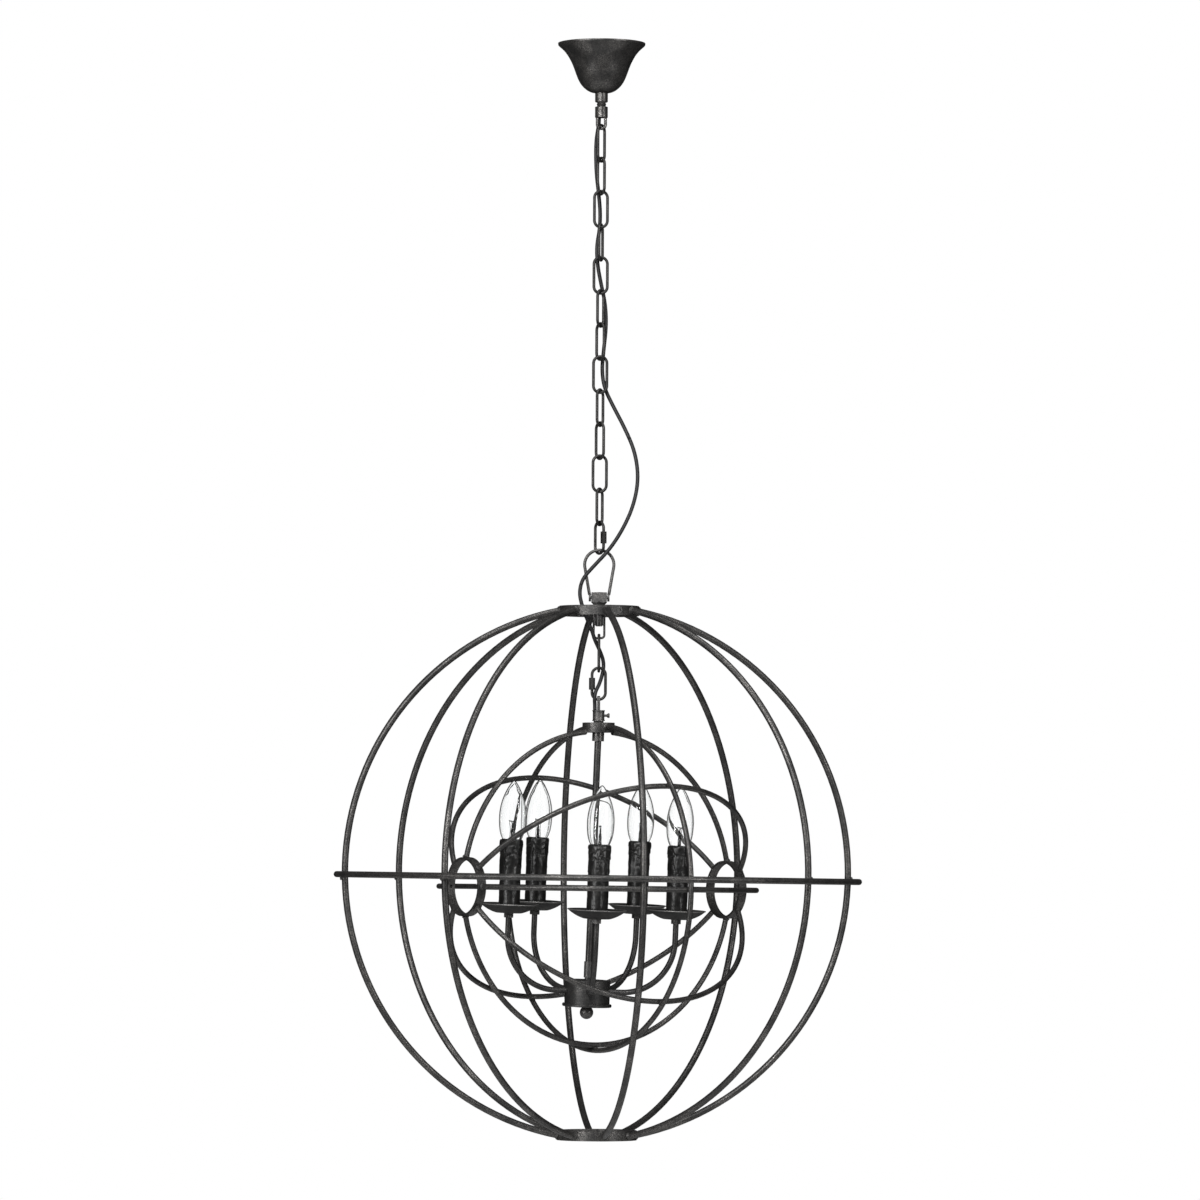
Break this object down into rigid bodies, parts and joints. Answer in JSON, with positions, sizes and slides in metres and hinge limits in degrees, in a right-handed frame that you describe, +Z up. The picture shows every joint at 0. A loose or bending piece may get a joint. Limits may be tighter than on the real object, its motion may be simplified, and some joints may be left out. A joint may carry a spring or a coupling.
{
  "type": "orb chandelier",
  "caption": "Ceiling light on a chain: a candle cluster in a small cage turned on its side, hung inside a large upright cage of round bars.",
  "frame": {"origin": "on the ceiling plane, at the centre of the canopy and of the bracket's screw slots", "axes": "+Z up into the ceiling, +X to the right in the front view, +Y away from it, to the back"},
  "size_m": [0.6865, 0.6866, 1.4256],
  "materials": {
    "zinc": "zinc plated, satin",
    "block": "matte",
    "canopy": "satin dark bronze, speckled",
    "chain": "satin antique black, rubbed",
    "fittings": "satin antique black",
    "cage": "satin antique black, rubbed and mottled",
    "lamp": "satin antique black",
    "pans": "satin black",
    "wax": "satin black drip wax, bronze rubs",
    "holder": "matte black",
    "bulb": "clear glass on a nickel cap",
    "cord": "satin black sheath"
  },
  "bodies": {
    "root": {"ceiling_bracket": "zinc", "bracket_nut": "zinc", "canopy_nipple": "zinc", "terminal_block": "block", "canopy": "canopy", "canopy_collar": "canopy", "canopy_loop": "canopy", "supply_cord_1": "cord"},
    "link_01": {"chain_link_01": "chain", "supply_cord_2": "cord"},
    "chain": {"chain_links": "chain", "upper_quick_link": "chain", "supply_cord_3": "cord"},
    "upper_sleeve": {"upper_link_sleeve": "chain"},
    "bail": {"bail": "fittings", "supply_cord_4": "cord"},
    "outer_orb": {"bail_block": "fittings", "outer_top_ring": "cage", "cross_bar": "fittings", "cross_bar_screws": "fittings", "outer_equator_ring": "cage", "outer_bottom_ring": "cage", "hanger_nut": "fittings", "stirrup": "fittings", "supply_cord_5": "cord", "outer_rib_1": "cage", "outer_rib_2": "cage", "outer_rib_3": "cage", "outer_rib_4": "cage", "outer_rib_5": "cage", "outer_rib_6": "cage", "outer_rib_7": "cage", "outer_rib_8": "cage"},
    "s_link": {"inner_link": "chain", "supply_cord_6": "cord"},
    "inner_orb": {"lower_quick_link": "chain", "inner_collar": "fittings", "hub_ring": "cage", "hub_nut": "fittings", "inner_ribs": "cage", "inner_equator": "cage", "polar_ring_left": "cage", "polar_ring_right": "cage", "down_tube": "lamp", "tube_coupling": "fittings", "junction_can": "lamp", "can_cover": "lamp", "lamp_arms": "lamp", "drip_pans": "pans", "pan_nuts": "fittings", "candle_sleeves": "wax", "lampholders": "holder"},
    "lower_sleeve": {"lower_link_sleeve": "chain"},
    "thumb_screw": {"thumb_screw": "fittings"},
    "finial": {"finial": "fittings"},
    "bulb_1": {"bulb_1": "bulb"},
    "bulb_2": {"bulb_2": "bulb"},
    "bulb_3": {"bulb_3": "bulb"},
    "bulb_4": {"bulb_4": "bulb"},
    "bulb_5": {"bulb_5": "bulb"}
  },
  "joints": [
    {"name": "chain_swing_front", "type": "hinge", "parent": "root", "child": "link_01", "pos_m": [0, 0, -0.1107], "axis": [1, 0, 0], "range_deg": [-8, 8], "deforming": ["supply_cord_1"]},
    {"name": "chain_swing_side", "type": "hinge", "parent": "link_01", "child": "chain", "pos_m": [0, 0, -0.1533], "axis": [0, 1, 0], "range_deg": [-15, 15], "deforming": ["supply_cord_2"]},
    {"name": "upper_sleeve_slide", "type": "slide", "parent": "chain", "child": "upper_sleeve", "axis": [0, 0, 1], "range_m": [0, 0.004]},
    {"name": "bail_swing", "type": "hinge", "parent": "chain", "child": "bail", "pos_m": [0, 0, -0.6631], "axis": [0, 1, 0], "range_deg": [-12, 12], "deforming": ["supply_cord_3"]},
    {"name": "orb_swing_front", "type": "hinge", "parent": "bail", "child": "outer_orb", "pos_m": [0, 0, -0.7206], "axis": [1, 0, 0], "range_deg": [-15, 15], "deforming": ["supply_cord_4"]},
    {"name": "inner_swing_front", "type": "hinge", "parent": "outer_orb", "child": "s_link", "pos_m": [0, 0, -0.7731], "axis": [1, 0, 0], "range_deg": [-8, 8], "deforming": ["supply_cord_5"]},
    {"name": "inner_swing_side", "type": "hinge", "parent": "s_link", "child": "inner_orb", "pos_m": [0, 0, -0.8162], "axis": [0, 1, 0], "range_deg": [-8, 8], "deforming": ["supply_cord_6"]},
    {"name": "lower_sleeve_slide", "type": "slide", "parent": "inner_orb", "child": "lower_sleeve", "axis": [0, 0, 1], "range_m": [0, 0.004]},
    {"name": "thumb_screw_turn", "type": "hinge", "parent": "inner_orb", "child": "thumb_screw", "pos_m": [0.0082, 0, -0.8739], "axis": [1, 0, 0], "range_deg": [0, 720]},
    {"name": "finial_turn", "type": "hinge", "parent": "inner_orb", "child": "finial", "pos_m": [-0.01363, 0.01267, -1.25242], "axis": [0.0375, -0.0349, 0.9987], "range_deg": [0, 1080]},
    {"name": "bulb_1_turn", "type": "hinge", "parent": "inner_orb", "child": "bulb_1", "pos_m": [0.00197, -0.10846, -1.05357], "axis": [0.0375, -0.0349, 0.9987], "range_deg": [0, 720]},
    {"name": "bulb_2_turn", "type": "hinge", "parent": "inner_orb", "child": "bulb_2", "pos_m": [-0.112, -0.03739, -1.04681], "axis": [0.0375, -0.0349, 0.9987], "range_deg": [0, 720]},
    {"name": "bulb_3_turn", "type": "hinge", "parent": "inner_orb", "child": "bulb_3", "pos_m": [-0.07949, 0.09307, -1.04347], "axis": [0.0375, -0.0349, 0.9987], "range_deg": [0, 720]},
    {"name": "bulb_4_turn", "type": "hinge", "parent": "inner_orb", "child": "bulb_4", "pos_m": [0.05458, 0.10262, -1.04818], "axis": [0.0375, -0.0349, 0.9987], "range_deg": [0, 720]},
    {"name": "bulb_5_turn", "type": "hinge", "parent": "inner_orb", "child": "bulb_5", "pos_m": [0.10492, -0.02193, -1.05442], "axis": [0.0375, -0.0349, 0.9987], "range_deg": [0, 720]}
  ]
}
